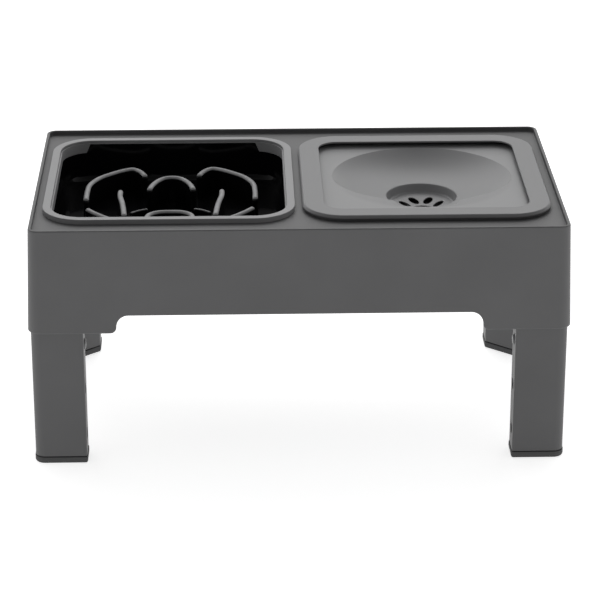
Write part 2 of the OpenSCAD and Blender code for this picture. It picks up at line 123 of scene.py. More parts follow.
# ---------------------------------------------------------------- tray
# The tray is one injection moulding in mid-grey polypropylene with a fine moulded grain:
# a deck with two rounded openings, a raised lip, and a skirt that flares towards the floor
# and is cut back under the middle of each side.
tray_low, tray_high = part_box("tray")
tray_wall = 1.8 * mm
lip_wide = 2.6 * mm
deck_drop = 3.7 * mm
deck_thick = 2.4 * mm
tray_corner = 8 * mm
skirt_flare = 3 * mm
cutout_rise = 14.8 * mm
corner_skirt = 70.5 * mm
collar_deep = 8 * mm
rim_z = tray_high.z
skirt_z = tray_low.z
deck_z = rim_z - deck_drop
deck_under = deck_z - deck_thick
arc_x = tray_high.x - skirt_flare - tray_corner
arc_y = tray_high.y - skirt_flare - tray_corner
slow_low, slow_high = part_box("slow_feeder_bowl")
water_low, water_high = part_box("water_bowl")
slow_x = (slow_low.x + slow_high.x) / 2
water_x = (water_low.x + water_high.x) / 2


def moulded(name, colour, roughness, grain, mottle=0.06):
    """Moulded plastic: even colour with a faint cloud, and a fine eroded grain."""
    finish = bpy.data.materials.new(name)
    finish.use_nodes = True
    nodes, links = finish.node_tree.nodes, finish.node_tree.links
    shader = nodes["Principled BSDF"]
    place = nodes.new("ShaderNodeTexCoord")
    cloud = nodes.new("ShaderNodeTexNoise")
    cloud.inputs["Scale"].default_value = 22
    cloud.inputs["Detail"].default_value = 4
    tint = nodes.new("ShaderNodeValToRGB")
    tint.color_ramp.elements[0].position, tint.color_ramp.elements[1].position = 0.3, 0.7
    tint.color_ramp.elements[0].color = (*[c * (1 - mottle) for c in colour], 1)
    tint.color_ramp.elements[1].color = (*[min(1, c * (1 + mottle)) for c in colour], 1)
    rough = nodes.new("ShaderNodeMapRange")
    rough.inputs["To Min"].default_value = roughness - 0.05
    rough.inputs["To Max"].default_value = roughness + 0.05
    fine = nodes.new("ShaderNodeTexNoise")
    fine.inputs["Scale"].default_value = 1900
    fine.inputs["Detail"].default_value = 2
    bump = nodes.new("ShaderNodeBump")
    bump.inputs["Strength"].default_value = grain
    bump.inputs["Distance"].default_value = 0.06 * mm
    links.new(place.outputs["Object"], cloud.inputs["Vector"])
    links.new(place.outputs["Object"], fine.inputs["Vector"])
    links.new(cloud.outputs["Fac"], tint.inputs["Fac"])
    links.new(tint.outputs["Color"], shader.inputs["Base Color"])
    links.new(cloud.outputs["Fac"], rough.inputs["Value"])
    links.new(rough.outputs["Result"], shader.inputs["Roughness"])
    links.new(fine.outputs["Fac"], bump.inputs["Height"])
    links.new(bump.outputs["Normal"], shader.inputs["Normal"])
    return finish


def soften(points, cuts, steps=4):
    """A line of points whose corners are rounded, each by its own length of cut."""
    line = []
    for i, here in enumerate(points):
        cut = cuts[i]
        if cut == 0 or i in (0, len(points) - 1):
            line.append(tuple(here))
            continue
        here = Vector(here)
        start = here + (Vector(points[i - 1]) - here).normalized() * cut
        end = here + (Vector(points[i + 1]) - here).normalized() * cut
        for k in range(steps + 1):
            t = k / steps
            line.append(tuple(start * (1 - t) ** 2 + here * 2 * t * (1 - t) + end * t * t))
    return line


def square_loop(half, corner, z, centre_x=0.0, centre_y=0.0, count=256):
    """Points of a rounded square, at even angles about its centre."""
    loop = []
    inner = half - corner
    for k in range(count):
        angle = 2 * math.pi * (k + 0.5) / count
        c, s = math.cos(angle), math.sin(angle)
        a, b = abs(c), abs(s)
        big, small = max(a, b), min(a, b)
        if small * half <= inner * big:
            reach = half / big
        else:
            along = (a + b) * inner
            reach = along + math.sqrt(max(0.0, along * along - 2 * inner * inner + corner * corner))
        loop.append((centre_x + c * reach, centre_y + s * reach, z))
    return loop


def add_rows(bm, rows, wrap=False):
    """Faces between rows of points that each run round the piece."""
    made = [[bm.verts.new(p) for p in row] for row in rows]
    pairs = list(zip(made, made[1:])) + ([(made[-1], made[0])] if wrap else [])
    for low, high in pairs:
        for k in range(len(low)):
            j = (k + 1) % len(low)
            bm.faces.new((low[k], low[j], high[j], high[k]))
    return made


def rim_edges(row):
    """The edges that join neighbours along one row."""
    edges = []
    for k, v in enumerate(row):
        after = row[(k + 1) % len(row)]
        edges.append(next(e for e in v.link_edges if e.other_vert(v) == after))
    return edges


def fill_between(bm, *rows):
    edges = [e for row in rows for e in rim_edges(row)]
    bmesh.ops.triangle_fill(bm, use_beauty=True, use_dissolve=False, edges=edges)


def finish_piece(bm, name, finish, body, nodes, sharp=35):
    """Turns the mesh into a piece with its material, smooth where it is round, on its body."""
    bmesh.ops.remove_doubles(bm, verts=bm.verts, dist=1e-7)
    bmesh.ops.recalc_face_normals(bm, faces=bm.faces)
    mesh = bpy.data.meshes.new(name)
    bm.to_mesh(mesh)
    bm.free()
    mesh.shade_smooth()
    mesh.set_sharp_from_angle(angle=math.radians(sharp))
    mesh.materials.append(finish)
    piece = bpy.data.objects.new(name, mesh)
    scene.collection.objects.link(piece)
    even = piece.modifiers.new("even_normals", "WEIGHTED_NORMAL")
    even.keep_sharp = True
    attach(piece, body)
    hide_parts(*nodes)


def skirt_radius(z):
    return tray_corner + skirt_flare * (rim_z - z) / (rim_z - skirt_z)


def half_side(length, cut_half):
    """Bottom edge of half a side, from its middle to its corner.

    Each point gives its place along the side, its level, the way the edge faces along the
    side and up, and the place along the side where its column starts at the top.
    """
    top_z, fillet, turn = skirt_z + cutout_rise, 9.6 * mm, 4.9 * mm
    edge = [(0, top_z), (cut_half * 0.5, top_z)]
    for k in range(13):
        a = math.pi / 2 * k / 12
        edge.append((cut_half - fillet + fillet * math.sin(a), top_z - fillet + fillet * math.cos(a)))
    for k in range(9):
        a = math.pi / 2 * k / 8
        edge.append((cut_half + turn - turn * math.cos(a), skirt_z + turn - turn * math.sin(a)))
    edge += [(cut_half + (length - cut_half) * 0.6, skirt_z), (length, skirt_z)]
    run = [0]
    for a, b in zip(edge, edge[1:]):
        run.append(run[-1] + math.dist(a, b))
    out = []
    for i, (s, z) in enumerate(edge):
        before, after = edge[max(i - 1, 0)], edge[min(i + 1, len(edge) - 1)]
        way = Vector((after[0] - before[0], after[1] - before[1])).normalized()
        out.append((s, z, way.y, -way.x, run[i] * length / run[-1]))
    return out


# A column of the skirt is its bottom and top place, the way along the side, the way out,
# and the level and facing of its bottom edge. One quarter is flipped into the other three.
quarter = []
for s, z, ns, nz, top in half_side(arc_x, tray_high.x - corner_skirt):
    quarter.append(((s, -arc_y), (top, -arc_y), (1, 0), (0, -1), z, ns, nz))
for k in range(1, 12):
    a = math.radians(90 * k / 12)
    quarter.append(((arc_x, -arc_y), (arc_x, -arc_y), (0, 0), (math.sin(a), -math.cos(a)), skirt_z, 0, -1))
for s, z, ns, nz, top in reversed(half_side(arc_y, tray_high.y - corner_skirt)):
    quarter.append(((arc_x, -s), (arc_x, -top), (0, -1), (1, 0), z, ns, nz))


def flipped(columns, fx, fy):
    def turn(p):
        return (p[0] * fx, p[1] * fy)
    return [(turn(b), turn(t), turn(w), turn(o), z, ns, nz) for b, t, w, o, z, ns, nz in columns]


columns = (quarter[:-1] + flipped(quarter, 1, -1)[:0:-1]
           + flipped(quarter, -1, -1)[:-1] + flipped(quarter, -1, 1)[:0:-1])
lip_inner = tray_corner - lip_wide
upper_line = soften(
    [(lip_inner - 1.2 * mm, deck_z), (lip_inner, deck_z), (lip_inner, rim_z),
     (tray_corner, rim_z), (skirt_radius(rim_z - 4 * mm), rim_z - 4 * mm)],
    [0, 0.5 * mm, 0.8 * mm, 1.1 * mm, 0], 4)
edge_round = tray_wall / 2
skirt_columns = []
for base, top, way, out, edge_z, ns, nz in columns:
    line = [(top[0] + out[0] * r, top[1] + out[1] * r, z) for r, z in upper_line]
    for k in range(0, 7):
        turn_angle = math.pi * k / 6
        back = edge_round * (math.sin(turn_angle) - 1)
        along, z = ns * back, edge_z + nz * back
        r = skirt_radius(z) - edge_round + edge_round * math.cos(turn_angle)
        line.append((base[0] + way[0] * along + out[0] * r, base[1] + way[1] * along + out[1] * r, z))
    r = skirt_radius(deck_under) - tray_wall
    line.append((top[0] + out[0] * r, top[1] + out[1] * r, deck_under))
    skirt_columns.append(line)
tray_bm = bmesh.new()
skirt_rows = add_rows(tray_bm, [list(row) for row in zip(*skirt_columns)])
opening_half, opening_corner = 97.7 * mm, 29.95 * mm
collar_line = soften(
    [(opening_half + 1.2 * mm, deck_z), (opening_half, deck_z), (opening_half, deck_under - collar_deep),
     (opening_half + tray_wall, deck_under - collar_deep), (opening_half + tray_wall, deck_under)],
    [0, 0.6 * mm, 0.6 * mm, 0.6 * mm, 0], 3)
openings = []
for centre in (slow_x, water_x):
    openings.append(add_rows(tray_bm, [
        square_loop(h, opening_corner + h - opening_half, z, centre) for h, z in collar_line]))
fill_between(tray_bm, skirt_rows[0], openings[0][0], openings[1][0])
fill_between(tray_bm, skirt_rows[-1], openings[0][-1], openings[1][-1])


def add_slab(bm, outline, low, high, matrix, edge=0.4 * mm):
    """A flat moulded rib: an outline pushed through from low to high, edges just broken."""
    centre = Vector((sum(p[0] for p in outline), sum(p[1] for p in outline))) / len(outline)
    rows = []
    for level, inset in ((low, edge), (low + edge, 0), (high - edge, 0), (high, edge)):
        rows.append([matrix @ Vector((*(Vector(p) - (Vector(p) - centre).normalized() * inset), level))
                     for p in outline])
    made = add_rows(bm, rows)
    bm.faces.new(made[0])
    bm.faces.new(made[-1])


pin_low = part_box("front_right_hinge_pin")[0]
pin_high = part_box("front_right_hinge_pin")[1]
hinge_x = (pin_low.x + pin_high.x) / 2
hinge_z = (pin_low.z + pin_high.z) / 2
pin_head = 2 * mm
lug_inner = -pin_high.y + pin_head
lug_thick = 2.5 * mm
lug_reach = 10 * mm
lug_foot = skirt_z + 8 * mm
shoulder_x, shoulder_z = 202.5 * mm, 159 * mm
skirt_cover = 1 * mm
seat_radius = 6.5 * mm
seat_face, seat_back = 123.3 * mm, 126.6 * mm
upright = Matrix(((1, 0, 0, 0), (0, 0, 1, 0), (0, 1, 0, 0), (0, 0, 0, 1)))
for fx in (-1, 1):
    for fy in (-1, 1):
        place = Matrix.Diagonal((fx, fy, 1, 1)) @ upright
        wall_low = arc_x + skirt_radius(lug_foot) - skirt_cover
        wall_high = arc_x + skirt_radius(deck_under) - skirt_cover
        lug = [(hinge_x - lug_reach, lug_foot), (wall_low, lug_foot), (wall_high, deck_under),
               (shoulder_x, deck_under), (shoulder_x, shoulder_z), (hinge_x - lug_reach, shoulder_z)]
        add_slab(tray_bm, lug, lug_inner, lug_inner + lug_thick, place)
        seat = [(hinge_x + seat_radius * math.cos(a * math.pi / 16),
                 hinge_z + seat_radius * math.sin(a * math.pi / 16)) for a in range(32)]
        add_slab(tray_bm, seat, seat_face, seat_back, place)
tray_grey = moulded("moulded_mid_grey", (0.093, 0.093, 0.095), 0.5, 0.25)
finish_piece(tray_bm, "tray_shell", tray_grey, "tray", ["tray"])


# ---------------------------------------------------------------- slow bowl
# The slow-feeder bowl is a rounded square tub in gloss black plastic, moulded in one with
# its flange. The maze of ridges stands on its floor, with a painted highlight of light grey along the
# crests, where light catches their rounded tops.
slow_flange_top = slow_high.z
bowl_floor_thick = 2.4 * mm
flange_thick = 2 * mm
slow_floor_z = slow_low.z + bowl_floor_thick
mouth_half, mouth_corner = 95.3 * mm, 27.6 * mm
flange_half, flange_corner = 99.6 * mm, 31.9 * mm
flange_root_half, flange_root_corner = 97.2 * mm, 29.4 * mm
floor_patch_half, floor_patch_corner = 20 * mm, 12 * mm


def gloss_black(name, crest_low, crest_high):
    """Gloss black plastic with a painted highlight: light grey and satin above a given level, in patches.
    """
    finish = bpy.data.materials.new(name)
    finish.use_nodes = True
    nodes, links = finish.node_tree.nodes, finish.node_tree.links
    shader = nodes["Principled BSDF"]
    place = nodes.new("ShaderNodeTexCoord")
    apart = nodes.new("ShaderNodeSeparateXYZ")
    level = nodes.new("ShaderNodeMapRange")
    level.inputs["From Min"].default_value = crest_low
    level.inputs["From Max"].default_value = crest_high
    cloud = nodes.new("ShaderNodeTexNoise")
    cloud.inputs["Scale"].default_value = 160
    cloud.inputs["Detail"].default_value = 5
    patch = nodes.new("ShaderNodeMapRange")
    patch.inputs["From Min"].default_value, patch.inputs["From Max"].default_value = 0.25, 0.6
    patch.inputs["To Min"].default_value = 0.75
    # Crest mask: a painted highlight of light grey from crest_low up, broken into patches by the cloud,
    # with a rougher satin surface there.
    painted_crest_highlight = nodes.new("ShaderNodeMath")
    painted_crest_highlight.operation = "MULTIPLY"
    tint = nodes.new("ShaderNodeValToRGB")
    tint.color_ramp.elements[0].color = (0.003, 0.003, 0.0035, 1)
    # The light grey end of the ramp is the painted highlight colour of the crests.
    tint.color_ramp.elements[1].color = (0.36, 0.36, 0.365, 1)
    rough = nodes.new("ShaderNodeMapRange")
    rough.inputs["To Min"].default_value, rough.inputs["To Max"].default_value = 0.09, 0.34
    ripple = nodes.new("ShaderNodeTexNoise")
    ripple.inputs["Scale"].default_value = 35
    ripple.inputs["Detail"].default_value = 2
    bump = nodes.new("ShaderNodeBump")
    bump.inputs["Strength"].default_value = 0.12
    bump.inputs["Distance"].default_value = 0.2 * mm
    links.new(place.outputs["Object"], apart.inputs["Vector"])
    links.new(apart.outputs["Z"], level.inputs["Value"])
    links.new(place.outputs["Object"], cloud.inputs["Vector"])
    links.new(cloud.outputs["Fac"], patch.inputs["Value"])
    links.new(level.outputs["Result"], painted_crest_highlight.inputs[0])
    links.new(patch.outputs["Result"], painted_crest_highlight.inputs[1])
    links.new(painted_crest_highlight.outputs["Value"], tint.inputs["Fac"])
    links.new(tint.outputs["Color"], shader.inputs["Base Color"])
    links.new(painted_crest_highlight.outputs["Value"], rough.inputs["Value"])
    links.new(rough.outputs["Result"], shader.inputs["Roughness"])
    links.new(place.outputs["Object"], ripple.inputs["Vector"])
    links.new(ripple.outputs["Fac"], bump.inputs["Height"])
    links.new(bump.outputs["Normal"], shader.inputs["Normal"])
    shader.inputs["Specular IOR Level"].default_value = 0.16
    return finish


def tub_rows(line, centre_x):
    return [square_loop(h, r, z, centre_x) for h, r, z in line]


slow_bm = bmesh.new()
slow_line = soften(
    [(floor_patch_half, floor_patch_corner, slow_floor_z),
     (92.4 * mm, 26 * mm, slow_floor_z),
     (mouth_half, mouth_corner, slow_flange_top),
     (flange_half, flange_corner, slow_flange_top),
     (flange_half, flange_corner, slow_flange_top - flange_thick),
     (flange_root_half, flange_root_corner, slow_flange_top - flange_thick),
     (94.6 * mm, 27.5 * mm, slow_low.z),
     (floor_patch_half, floor_patch_corner, slow_low.z)],
    [0, 8 * mm, 0.8 * mm, 0.6 * mm, 0.5 * mm, 0.3 * mm, 7 * mm, 0], 6)
slow_rows = add_rows(slow_bm, tub_rows(slow_line, slow_x))
slow_bm.faces.new(slow_rows[0])
slow_bm.faces.new(slow_rows[-1])
# The crests of the maze ridges get a painted highlight of light grey: from 19.8 mm above the floor on the
# tall ridges, from 13.2 mm on the low ones.
ridge_black_painted_highlight = gloss_black("gloss_black_painted_crest_highlight", slow_floor_z + 19.8 * mm, slow_floor_z + 20.8 * mm)
low_ridge_black_painted_highlight = gloss_black("gloss_black_low_ridges_painted_highlight", slow_floor_z + 13.2 * mm, slow_floor_z + 14.6 * mm)
plain_black = gloss_black("gloss_black_walls", 1.0, 2.0)
finish_piece(slow_bm, "slow_bowl_shell", plain_black, "slow_feeder_bowl",
             ["slow_feeder_bowl"])


def ridge_tree():
    """Node tree: a round-crested wall along each line of the input mesh, with domed ends."""
    tree = bpy.data.node_groups.new("maze_ridge", "GeometryNodeTree")
    face = tree.interface
    face.new_socket("Geometry", in_out="INPUT", socket_type="NodeSocketGeometry")
    for label, value in (("Ridge thickness", 0.0046), ("Ridge height", 0.022), ("Root depth", 0.001)):
        face.new_socket(label, in_out="INPUT", socket_type="NodeSocketFloat").default_value = value
    face.new_socket("Finish", in_out="INPUT", socket_type="NodeSocketMaterial")
    face.new_socket("Geometry", in_out="OUTPUT", socket_type="NodeSocketGeometry")
    nodes, links = tree.nodes, tree.links

    def node(kind, **settings):
        made = nodes.new(kind)
        for key, value in settings.items():
            setattr(made, key, value)
        return made

    def maths(operation, a, b):
        made = node("ShaderNodeMath", operation=operation)
        for socket, value in zip(made.inputs, (a, b)):
            if isinstance(value, (int, float)):
                socket.default_value = value
            else:
                links.new(value, socket)
        return made.outputs[0]

    def upward(value):
        made = node("ShaderNodeCombineXYZ")
        links.new(value, made.inputs["Z"])
        return made.outputs[0]

    given = node("NodeGroupInput")
    thick, high = given.outputs["Ridge thickness"], given.outputs["Ridge height"]
    root = given.outputs["Root depth"]
    radius = maths("MULTIPLY", thick, 0.5)
    whole = maths("ADD", high, root)
    centre = maths("MULTIPLY", maths("SUBTRACT", high, root), 0.5)
    path = node("GeometryNodeMeshToCurve")
    links.new(given.outputs["Geometry"], path.inputs["Mesh"])
    level = node("GeometryNodeSetCurveNormal", mode="Z_UP")
    links.new(path.outputs["Curve"], level.inputs["Curve"])
    lift = node("GeometryNodeSetPosition")
    links.new(level.outputs["Curve"], lift.inputs["Geometry"])
    links.new(upward(centre), lift.inputs["Offset"])
    section = node("GeometryNodeCurvePrimitiveQuadrilateral")
    links.new(thick, section.inputs["Width"])
    links.new(whole, section.inputs["Height"])
    crest = node("GeometryNodeFilletCurve", mode="POLY")
    crest.inputs["Count"].default_value = 6
    links.new(section.outputs["Curve"], crest.inputs["Curve"])
    links.new(maths("MULTIPLY", radius, 0.98), crest.inputs["Radius"])
    wall = node("GeometryNodeCurveToMesh")
    wall.inputs["Fill Caps"].default_value = True
    links.new(lift.outputs["Geometry"], wall.inputs["Curve"])
    links.new(crest.outputs["Curve"], wall.inputs["Profile Curve"])
    post = node("GeometryNodeMeshCylinder")
    post.inputs["Vertices"].default_value = 24
    post.inputs["Side Segments"].default_value = 16
    links.new(radius, post.inputs["Radius"])
    links.new(maths("SUBTRACT", whole, radius), post.inputs["Depth"])
    post_up = node("GeometryNodeTransform")
    links.new(post.outputs["Mesh"], post_up.inputs["Geometry"])
    post_centre = maths("SUBTRACT", centre, maths("MULTIPLY", radius, 0.5))
    links.new(upward(post_centre), post_up.inputs["Translation"])
    dome = node("GeometryNodeMeshUVSphere")
    dome.inputs["Segments"].default_value, dome.inputs["Rings"].default_value = 24, 12
    links.new(radius, dome.inputs["Radius"])
    dome_up = node("GeometryNodeTransform")
    links.new(dome.outputs["Mesh"], dome_up.inputs["Geometry"])
    links.new(upward(maths("SUBTRACT", high, radius)), dome_up.inputs["Translation"])
    end_post = node("GeometryNodeJoinGeometry")
    links.new(post_up.outputs["Geometry"], end_post.inputs["Geometry"])
    links.new(dome_up.outputs["Geometry"], end_post.inputs["Geometry"])
    around = node("GeometryNodeInputMeshVertexNeighbors")
    is_end = node("FunctionNodeCompare", data_type="INT", operation="EQUAL")
    whole_inputs = {socket.name: socket for socket in is_end.inputs if socket.type == "INT"}
    whole_inputs["B"].default_value = 1
    links.new(around.outputs["Vertex Count"], whole_inputs["A"])
    ends = node("GeometryNodeInstanceOnPoints")
    links.new(given.outputs["Geometry"], ends.inputs["Points"])
    links.new(is_end.outputs["Result"], ends.inputs["Selection"])
    links.new(end_post.outputs["Geometry"], ends.inputs["Instance"])
    both = node("GeometryNodeJoinGeometry")
    links.new(wall.outputs["Mesh"], both.inputs["Geometry"])
    links.new(ends.outputs["Instances"], both.inputs["Geometry"])
    real = node("GeometryNodeRealizeInstances")
    links.new(both.outputs["Geometry"], real.inputs["Geometry"])
    smooth = node("GeometryNodeSetShadeSmooth")
    links.new(real.outputs["Geometry"], smooth.inputs["Geometry"])
    paint = node("GeometryNodeSetMaterial")
    links.new(smooth.outputs["Geometry"], paint.inputs["Geometry"])
    links.new(given.outputs["Finish"], paint.inputs["Material"])
    done = node("NodeGroupOutput")
    links.new(paint.outputs["Geometry"], done.inputs["Geometry"])
    return tree


def curve_through(points, steps=6):
    """A smooth line through a short list of points."""
    line = []
    for i in range(len(points) - 1):
        a, b, c, d = (Vector(points[max(0, min(len(points) - 1, j))]) for j in (i - 1, i, i + 1, i + 2))
        for k in range(steps):
            t = k / steps
            line.append(0.5 * (2 * b + (c - a) * t + (2 * a - 5 * b + 4 * c - d) * t ** 2
                               + (3 * b - a - 3 * c + d) * t ** 3))
    return line + [Vector(points[-1])]


def evaluated_copy(piece, name):
    """The plain mesh that a piece's modifiers give, as a new object with the modifiers gone."""
    bpy.context.view_layer.update()
    mesh = bpy.data.meshes.new_from_object(piece.evaluated_get(bpy.context.evaluated_depsgraph_get()))
    mesh.name = name
    made = bpy.data.objects.new(name, mesh)
    scene.collection.objects.link(made)
    bpy.data.objects.remove(piece, do_unlink=True)
    return made


def ridges(name, lines, height, thick, finish):
    points, edges = [], []
    for line in lines:
        path = curve_through(line)
        edges += [(len(points) + k, len(points) + k + 1) for k in range(len(path) - 1)]
        points += [(slow_x + p.x * mm, p.y * mm, slow_floor_z) for p in path]
    mesh = bpy.data.meshes.new(name + "_paths")
    mesh.from_pydata(points, edges, [])
    piece = bpy.data.objects.new(name + "_paths", mesh)
    scene.collection.objects.link(piece)
    grow = piece.modifiers.new("maze_ridge", "NODES")
    grow.node_group = maze_ridge
    wanted = {"Ridge thickness": thick, "Ridge height": height, "Root depth": 3 * mm, "Finish": finish}
    for item in maze_ridge.interface.items_tree:
        if item.in_out == "INPUT" and item.name in wanted:
            grow[item.identifier] = wanted[item.name]
    made = evaluated_copy(piece, name)
    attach(made, "slow_feeder_bowl")


# Each ridge is a short list of points in millimetres from the middle of the bowl.
maze_ridge = ridge_tree()
long_ridge = [(-69.5, -10), (-69.5, 8), (-68, 26), (-61, 42), (-50, 54), (-40, 62), (-33, 64), (-27, 58),
              (-23, 48)]
front_ridge = [(-66.5, -35), (-60, -44), (-50, -55), (-40, -62), (-33, -64), (-27, -60)]
side_ridge = [(-42, 8), (-41.8, -3), (-40, -15), (-38.4, -29), (-37, -47)]
low_ridge = [(-32, -23), (-26, -18), (-20, -15)]
back_arch = [(-18, 14), (-15.8, 24), (-12.2, 33), (-7, 40), (0, 42.5), (7, 40), (12.2, 33), (15.8, 24),
             (18, 14)]
ridge_high, ridge_thick = 22 * mm, 4.6 * mm
low_ridge_high, low_ridge_thick = 14 * mm, 2.6 * mm
front_arch = [(-19, -57), (-17, -48), (-10, -42), (0, -41), (10, -42), (17, -48), (19, -57)]


def both_hands(line):
    return [line, [(-x, y) for x, y in line]]


ridges("maze_ridges", both_hands(long_ridge) + both_hands(front_ridge) + both_hands(side_ridge)
       + [back_arch, front_arch], ridge_high, ridge_thick, ridge_black_painted_highlight)
ridges("low_maze_ridges", both_hands(low_ridge), low_ridge_high, low_ridge_thick, low_ridge_black_painted_highlight)


# ---------------------------------------------------------------- frame ring
# The frame ring is a separate grey moulding that drops over the slow bowl's flange. A thin
# band hangs from it inside the bowl, broken in the middle of the front and the back.
frame_low, frame_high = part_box("bowl_frame_ring")
frame_half = (frame_high.x - frame_low.x) / 2
frame_corner = 33 * mm
frame_wide = 6.4 * mm
frame_drop = 1.9 * mm
frame_wall = 0.8 * mm
seat_gap = 0.05 * mm
frame_bm = bmesh.new()
frame_line = [
    (frame_half, frame_corner, slow_flange_top - frame_drop), (frame_half, frame_corner, frame_high.z),
    (frame_half - frame_wide, frame_corner - frame_wide, frame_high.z),
    (frame_half - frame_wide, frame_corner - frame_wide, slow_flange_top + seat_gap),
    (frame_half - frame_wall, frame_corner - frame_wall, slow_flange_top + seat_gap),
    (frame_half - frame_wall, frame_corner - frame_wall, slow_flange_top - frame_drop)]
frame_line = soften(frame_line + frame_line[:1],
                    [0, 0.5 * mm, 0.4 * mm, 0.5 * mm, 0.2 * mm, 0.1 * mm, 0], 4)[:-1]
add_rows(frame_bm, tub_rows(frame_line, slow_x), wrap=True)
band_half, band_corner, band_thick = 94.3 * mm, 27 * mm, 1.1 * mm
band_gap = 73 * mm
band_level = slow_flange_top - 8.6 * mm
band_stub = slow_flange_top - 0.8 * mm
band_root = slow_flange_top + 0.1 * mm
band_end_y = 80 * mm


def band_height(x, y, level):
    """The band's level at a place: cut short in the middle of the front and the back."""
    in_gap = abs(x - slow_x) < band_gap and abs(y) > band_end_y
    return max(level, band_stub) if in_gap else level


band_rows = []
for h, z in ((band_half, band_root), (band_half, band_level + 0.4 * mm),
             (band_half - 0.3 * mm, band_level + 0.1 * mm),
             (band_half - band_thick + 0.3 * mm, band_level + 0.1 * mm),
             (band_half - band_thick, band_level + 0.4 * mm), (band_half - band_thick, band_root)):
    row = square_loop(h, band_corner + h - band_half, z, slow_x)
    band_rows.append([(x, y, band_height(x, y, level)) for x, y, level in row])
add_rows(frame_bm, band_rows, wrap=True)
ring_grey = moulded("moulded_light_grey", (0.27, 0.27, 0.275), 0.42, 0.15, 0.04)
finish_piece(frame_bm, "frame_ring_moulding", ring_grey, "bowl_frame_ring",
             ["bowl_frame_ring"])


# ---------------------------------------------------------------- water bowl
# The water bowl is a deep rounded tub in the tray's grey, with a flange that rests on the
# deck. Only its flange shows while the splash ring is on.
water_flange_top = water_high.z
water_floor_z = water_low.z + bowl_floor_thick
water_flange_half = 98.7 * mm
water_bm = bmesh.new()
water_line = soften(
    [(floor_patch_half, floor_patch_corner, water_floor_z),
     (90.5 * mm, 26 * mm, water_floor_z),
     (mouth_half, mouth_corner, water_flange_top),
     (water_flange_half, flange_corner, water_flange_top),
     (water_flange_half, flange_corner, water_flange_top - flange_thick),
     (flange_root_half, flange_root_corner, water_flange_top - flange_thick),
     (92.8 * mm, 27.5 * mm, water_low.z),
     (floor_patch_half, floor_patch_corner, water_low.z)],
    [0, 6 * mm, 0.8 * mm, 0.6 * mm, 0.6 * mm, 0.3 * mm, 6 * mm, 0], 6)
water_rows = add_rows(water_bm, tub_rows(water_line, water_x))
water_bm.faces.new(water_rows[0])
water_bm.faces.new(water_rows[-1])
water_grey = moulded("moulded_bowl_grey", (0.105, 0.105, 0.108), 0.36, 0.12, 0.04)
finish_piece(water_bm, "water_bowl_shell", water_grey, "water_bowl", ["water_bowl"])


# ---------------------------------------------------------------- splash ring
# The splash ring is a satin grey frame that clips over the water bowl. Its thin lip
# reaches over the edge of the floating disc, so that the disc can't rise out.
splash_low, splash_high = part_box("splash_ring")
splash_half = (splash_high.x - splash_low.x) / 2
splash_corner = 33 * mm
splash_wide = 17.4 * mm
splash_base = water_flange_top + seat_gap
splash_draft = 1.4 * mm
lip_thick = 1.5 * mm
rib_half, rib_corner = 93.5 * mm, 25.7 * mm
rib_out_half, rib_out_corner = 95.1 * mm, 27.3 * mm
splash_bm = bmesh.new()
splash_line = [
    (splash_half, splash_corner, splash_base + 0.9 * mm),
    (splash_half - splash_draft, splash_corner - splash_draft, splash_high.z),
    (splash_half - splash_wide, splash_corner - splash_wide, splash_high.z),
    (splash_half - splash_wide, splash_corner - splash_wide, splash_high.z - lip_thick),
    (rib_half, rib_corner, splash_high.z - lip_thick), (rib_half, rib_corner, splash_low.z),
    (rib_out_half, rib_out_corner, splash_low.z), (rib_out_half, rib_out_corner, splash_base),
    (splash_half, splash_corner, splash_base)]
splash_line = soften(splash_line + splash_line[:1],
                     [0, 1.1 * mm, 0.7 * mm, 0.5 * mm, 0.3 * mm, 0.3 * mm, 0.3 * mm, 0.1 * mm,
                      0.4 * mm, 0], 4)[:-1]
add_rows(splash_bm, tub_rows(splash_line, water_x), wrap=True)
splash_grey = moulded("moulded_satin_grey", (0.18, 0.18, 0.184), 0.42, 0.15, 0.04)
finish_piece(splash_bm, "splash_ring_moulding", splash_grey, "splash_ring",
             ["splash_ring"])


# ---------------------------------------------------------------- floating disc
# The floating disc is a thin grey shell: a square plate with a turned-down edge, a round
# dish in it, a sump in the middle of the dish and paw-shaped holes through the sump's floor.
disc_low, disc_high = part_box("floating_disc")
disc_x = (disc_low.x + disc_high.x) / 2
disc_y = (disc_low.y + disc_high.y) / 2
disc_half = (disc_high.x - disc_low.x) / 2
disc_top = disc_high.z
disc_corner = 19.6 * mm
disc_shell = 2 * mm
dish_radius = 74.4 * mm
dish_deep = 16.4 * mm
sump_radius = 30 * mm
sump_deep = 6.9 * mm
sump_edge = disc_top - dish_deep
sump_floor = sump_edge - sump_deep
thin_floor = 0.7 * mm
dish_fullness = 2.8
dish_full = dish_deep / (1 - (sump_radius / dish_radius) ** dish_fullness)
lip_reach, lip_rise = 9 * mm, 1.3 * mm
rim_steps, disc_count = 5, 256


def dish_level(radius):
    return disc_top - dish_full * (1 - (radius / dish_radius) ** dish_fullness)


